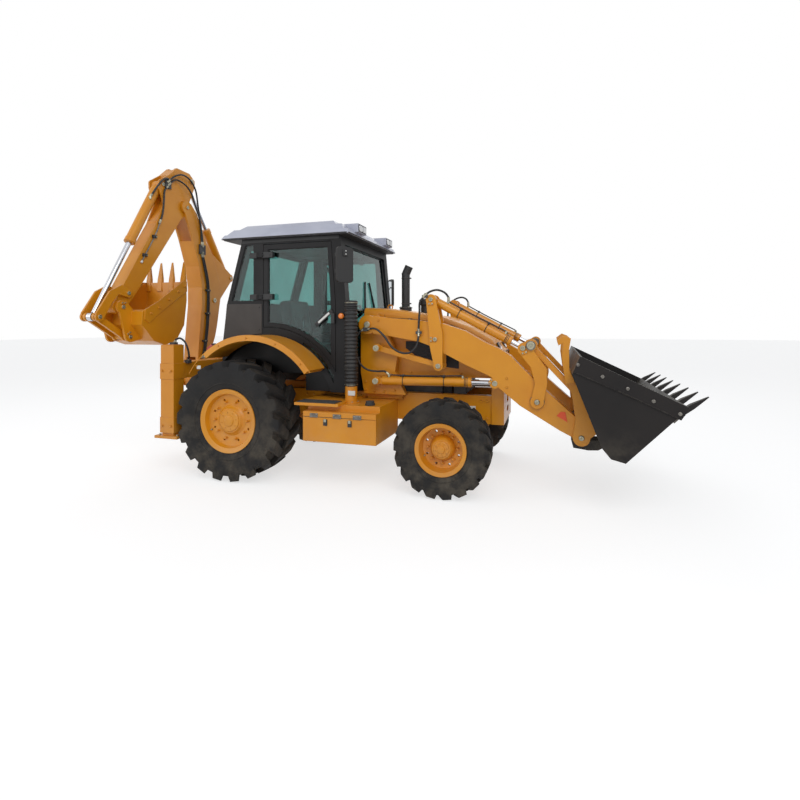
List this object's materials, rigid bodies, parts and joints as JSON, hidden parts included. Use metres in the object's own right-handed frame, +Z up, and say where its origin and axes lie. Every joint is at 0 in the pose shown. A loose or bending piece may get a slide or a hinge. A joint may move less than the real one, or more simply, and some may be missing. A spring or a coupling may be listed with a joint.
{
  "type": "backhoe loader",
  "caption": "Wheeled backhoe loader with a toothed front bucket on a parallel linkage, a closed cab and a side-shift backhoe folded and slewed to one side.",
  "frame": {"origin": "on the ground under the middle of the whole machine, front bucket and backhoe included", "axes": "+X forward along the machine, towards the front bucket; +Y to its left; +Z up"},
  "size_m": [6.273, 2.819, 3.7217],
  "materials": {
    "paint": "gloss",
    "dark_paint": "satin",
    "black": "matte",
    "steel": "polished",
    "rubber": "matte",
    "grey": "matte",
    "glass": "clear",
    "iron": "matte",
    "black_paint": "satin"
  },
  "bodies": {
    "machine": {"chassis": "paint", "stabiliser_frame": "paint", "towers": "paint", "front_nose": "paint", "hood": "paint", "engine": "iron", "exhaust": "black_paint", "cab_frame": "black_paint", "cab_windows": "glass", "roof": "grey", "fenders": "paint", "interior": "black", "tanks": "paint", "lamps_mirrors": "black", "rear_axle": "paint", "front_axle": "paint"},
    "wheel_rear_right": {"tyre_rear_right": "rubber", "rim_rear_right": "paint"},
    "wheel_rear_left": {"tyre_rear_left": "rubber", "rim_rear_left": "paint"},
    "knuckle_right": {"knuckle_right": "paint"},
    "knuckle_left": {"knuckle_left": "paint"},
    "wheel_front_right": {"tyre_front_right": "rubber", "rim_front_right": "paint"},
    "wheel_front_left": {"tyre_front_left": "rubber", "rim_front_left": "paint"},
    "door_right": {"door_right": "black_paint", "door_glass_right": "glass"},
    "door_left": {"door_left": "black_paint", "door_glass_left": "glass"},
    "loader_bucket": {"loader_bucket": "dark_paint", "coupler": "paint"},
    "loader_arms": {"loader_arms": "paint"},
    "lift_barrels": {"lift_barrels": "paint"},
    "lift_rods": {"lift_rods": "steel"},
    "level_links": {"level_links": "paint"},
    "rear_levers": {"rear_levers": "paint"},
    "tilt_barrels": {"tilt_barrels": "paint"},
    "tilt_rods": {"tilt_rods": "steel"},
    "lever_pins": {"lever_pins": "steel"},
    "front_levers": {"front_levers": "paint"},
    "link_pins": {"link_pins": "steel"},
    "bucket_links": {"bucket_links": "paint"},
    "bucket_pins": {"bucket_pins": "steel"},
    "carriage": {"carriage": "paint"},
    "kingpost": {"kingpost": "paint"},
    "boom": {"boom": "paint"},
    "boom_barrel": {"boom_barrel": "paint"},
    "boom_rod": {"boom_rod": "steel"},
    "dipper": {"dipper": "paint"},
    "dipper_barrel": {"dipper_barrel": "paint"},
    "dipper_rod": {"dipper_rod": "steel"},
    "bucket_barrel": {"bucket_barrel": "paint"},
    "bucket_rod": {"bucket_rod": "steel"},
    "idlers": {"idlers": "paint"},
    "hoe_link": {"hoe_link": "paint"},
    "digging_bucket": {"digging_bucket": "paint"},
    "leg_right": {"leg_right": "paint"},
    "leg_left": {"leg_left": "paint"}
  },
  "joints": [
    {"name": "spin_rear_right", "type": "hinge", "parent": "machine", "child": "wheel_rear_right", "pos_m": [-1.472, -0.6935, 0.655], "axis": [0, 1, 0], "continuous": true},
    {"name": "spin_rear_left", "type": "hinge", "parent": "machine", "child": "wheel_rear_left", "pos_m": [-1.472, 1.1745, 0.655], "axis": [0, 1, 0], "continuous": true},
    {"name": "steer_right", "type": "hinge", "parent": "machine", "child": "knuckle_right", "pos_m": [0.858, -0.4595, 0.482], "axis": [0, 0, 1], "range_deg": [-33, 33]},
    {"name": "steer_left", "type": "hinge", "parent": "machine", "child": "knuckle_left", "pos_m": [0.858, 0.9405, 0.482], "axis": [0, 0, 1], "range_deg": [-33.5, 33.5]},
    {"name": "spin_front_right", "type": "hinge", "parent": "knuckle_right", "child": "wheel_front_right", "pos_m": [0.858, -0.6325, 0.482], "axis": [0, 1, 0], "continuous": true},
    {"name": "spin_front_left", "type": "hinge", "parent": "knuckle_left", "child": "wheel_front_left", "pos_m": [0.858, 1.1135, 0.482], "axis": [0, 1, 0], "continuous": true},
    {"name": "door_right_hinge", "type": "hinge", "parent": "machine", "child": "door_right", "pos_m": [-1.322, -0.5495, 2], "axis": [0, 0, -1], "range_deg": [0, 80]},
    {"name": "door_left_hinge", "type": "hinge", "parent": "machine", "child": "door_left", "pos_m": [-1.322, 1.0305, 2], "axis": [0, 0, 1], "range_deg": [0, 80]},
    {"name": "lift", "type": "hinge", "parent": "machine", "child": "loader_arms", "pos_m": [-0.04, 0.2405, 1.702], "axis": [0, -1, 0], "range_deg": [-9, 70]},
    {"name": "lift_barrel_turn", "type": "hinge", "parent": "machine", "child": "lift_barrels", "pos_m": [0.055, 0.2405, 1.087], "axis": [0, -1, 0], "range_deg": [-8.27, 60.92]},
    {"name": "lift_rod_slide", "type": "slide", "parent": "lift_barrels", "child": "lift_rods", "axis": [0.9999, 0, 0.0132], "range_m": [-0.0893, 0.6673]},
    {"name": "level_link_turn", "type": "hinge", "parent": "machine", "child": "level_links", "pos_m": [0.063, 0.2405, 1.445], "axis": [0, -1, 0], "range_deg": [-10.49, 78.2]},
    {"name": "rear_lever_turn", "type": "hinge", "parent": "loader_arms", "child": "rear_levers", "pos_m": [0.728, 0.2405, 1.547], "axis": [0, -1, 0], "range_deg": [-72.46, 9.75]},
    {"name": "tilt_barrel_turn", "type": "hinge", "parent": "rear_levers", "child": "tilt_barrels", "pos_m": [0.681, 0.2405, 1.963], "axis": [0, -1, 0], "range_deg": [-10.7, 79.81]},
    {"name": "lever_pin_turn", "type": "hinge", "parent": "loader_arms", "child": "lever_pins", "pos_m": [1.753, 0.2405, 0.94], "axis": [0, -1, 0], "range_deg": [-55.62, 7.59]},
    {"name": "bucket_pin_turn", "type": "hinge", "parent": "loader_arms", "child": "bucket_pins", "pos_m": [2.163, 0.2405, 0.615], "axis": [0, -1, 0], "range_deg": [-68.61, 9.26]},
    {"name": "bucket_tilt", "type": "hinge", "parent": "bucket_pins", "child": "loader_bucket", "pos_m": [2.163, 0.2405, 0.615], "axis": [0, -1, 0], "range_deg": [-88, 0]},
    {"name": "front_lever_turn", "type": "hinge", "parent": "lever_pins", "child": "front_levers", "pos_m": [1.753, 0.2405, 0.94], "axis": [0, -1, 0], "range_deg": [-71.89, 0.5]},
    {"name": "link_pin_turn", "type": "hinge", "parent": "front_levers", "child": "link_pins", "pos_m": [1.694, 0.2405, 1.4945], "axis": [0, -1, 0], "range_deg": [-7.34, 53.74]},
    {"name": "bucket_link_turn", "type": "hinge", "parent": "link_pins", "child": "bucket_links", "pos_m": [1.694, 0.2405, 1.4945], "axis": [0, -1, 0], "range_deg": [-0.5, 66.49]},
    {"name": "tilt_rod_slide", "type": "slide", "parent": "tilt_barrels", "child": "tilt_rods", "axis": [0.884, 0, -0.4675], "range_m": [-0.004, 0.6306]},
    {"name": "side_shift", "type": "slide", "parent": "machine", "child": "carriage", "axis": [0, 1, 0], "range_m": [-0.5, 0.5]},
    {"name": "swing", "type": "hinge", "parent": "carriage", "child": "kingpost", "pos_m": [-2.832, 0.2405, 0.7], "axis": [0, 0, -1], "range_deg": [0, 180]},
    {"name": "boom_turn", "type": "hinge", "parent": "kingpost", "child": "boom", "pos_m": [-2.832, 0.1205, 0.98], "axis": [1, 0, 0], "range_deg": [0, 110]},
    {"name": "boom_barrel_turn", "type": "hinge", "parent": "kingpost", "child": "boom_barrel", "pos_m": [-2.832, 0.4005, 1.2], "axis": [1, 0, 0], "range_deg": [-0.5, 104.67]},
    {"name": "boom_rod_slide", "type": "slide", "parent": "boom_barrel", "child": "boom_rod", "axis": [0, 0.047, 0.9989], "range_m": [-0.004, 0.5761]},
    {"name": "dipper_turn", "type": "hinge", "parent": "boom", "child": "dipper", "pos_m": [-2.832, -0.0865, 3.243], "axis": [-1, 0, 0], "range_deg": [0, 105]},
    {"name": "dipper_barrel_turn", "type": "hinge", "parent": "boom", "child": "dipper_barrel", "pos_m": [-2.832, 0.8305, 2.4], "axis": [-1, 0, 0], "range_deg": [-10.79, 0.5]},
    {"name": "dipper_rod_slide", "type": "slide", "parent": "dipper_barrel", "child": "dipper_rod", "axis": [0, -0.5499, 0.8352], "range_m": [-0.5868, 0.004]},
    {"name": "digging_bucket_turn", "type": "hinge", "parent": "dipper", "child": "digging_bucket", "pos_m": [-2.832, -1.0985, 1.897], "axis": [-1, 0, 0], "range_deg": [0, 150]},
    {"name": "idler_turn", "type": "hinge", "parent": "dipper", "child": "idlers", "pos_m": [-2.832, -0.9905, 2.058], "axis": [-1, 0, 0], "range_deg": [-0.5, 109.49]},
    {"name": "hoe_link_turn", "type": "hinge", "parent": "idlers", "child": "hoe_link", "pos_m": [-2.832, -1.3545, 1.784], "axis": [-1, 0, 0], "range_deg": [-20.3, 0.5]},
    {"name": "bucket_barrel_turn", "type": "hinge", "parent": "dipper", "child": "bucket_barrel", "pos_m": [-2.832, -0.4595, 3.45], "axis": [-1, 0, 0], "range_deg": [-0.5, 7.26]},
    {"name": "bucket_rod_slide", "type": "slide", "parent": "bucket_barrel", "child": "bucket_rod", "axis": [0, -0.4732, -0.8809], "range_m": [-0.7247, 0.004]},
    {"name": "stabiliser_right", "type": "slide", "parent": "machine", "child": "leg_right", "axis": [0, 0, -1], "range_m": [0, 0.4]},
    {"name": "stabiliser_left", "type": "slide", "parent": "machine", "child": "leg_left", "axis": [0, 0, -1], "range_m": [0, 0.4]}
  ],
  "couplings": [
    {"joint": "steer_left", "follows": "steer_right", "ratio": 1},
    {"joint": "lift_barrel_turn", "follows": "lift", "ratio": 0.8632},
    {"joint": "lift_rod_slide", "follows": "lift", "m_per_rad": 0.5429},
    {"joint": "level_link_turn", "follows": "lift", "ratio": 1.11},
    {"joint": "rear_lever_turn", "follows": "lift", "ratio": -1.028},
    {"joint": "tilt_barrel_turn", "follows": "lift", "ratio": 1.133},
    {"joint": "lever_pin_turn", "follows": "lift", "ratio": -0.7875},
    {"joint": "bucket_pin_turn", "follows": "lift", "ratio": -0.973},
    {"joint": "front_lever_turn", "follows": "bucket_tilt", "ratio": 0.8113},
    {"joint": "link_pin_turn", "follows": "lift", "ratio": 0.7606},
    {"joint": "bucket_link_turn", "follows": "bucket_tilt", "ratio": -0.7499},
    {"joint": "tilt_rod_slide", "follows": "bucket_tilt", "m_per_rad": -0.408},
    {"joint": "boom_barrel_turn", "follows": "boom_turn", "ratio": 0.947},
    {"joint": "boom_rod_slide", "follows": "boom_turn", "m_per_rad": 0.298},
    {"joint": "dipper_barrel_turn", "follows": "dipper_turn", "ratio": -0.098},
    {"joint": "dipper_rod_slide", "follows": "dipper_turn", "m_per_rad": -0.318},
    {"joint": "idler_turn", "follows": "digging_bucket_turn", "ratio": 0.7266},
    {"joint": "hoe_link_turn", "follows": "digging_bucket_turn", "ratio": -0.132},
    {"joint": "bucket_barrel_turn", "follows": "digging_bucket_turn", "ratio": 0.0451},
    {"joint": "bucket_rod_slide", "follows": "digging_bucket_turn", "m_per_rad": -0.2753}
  ]
}
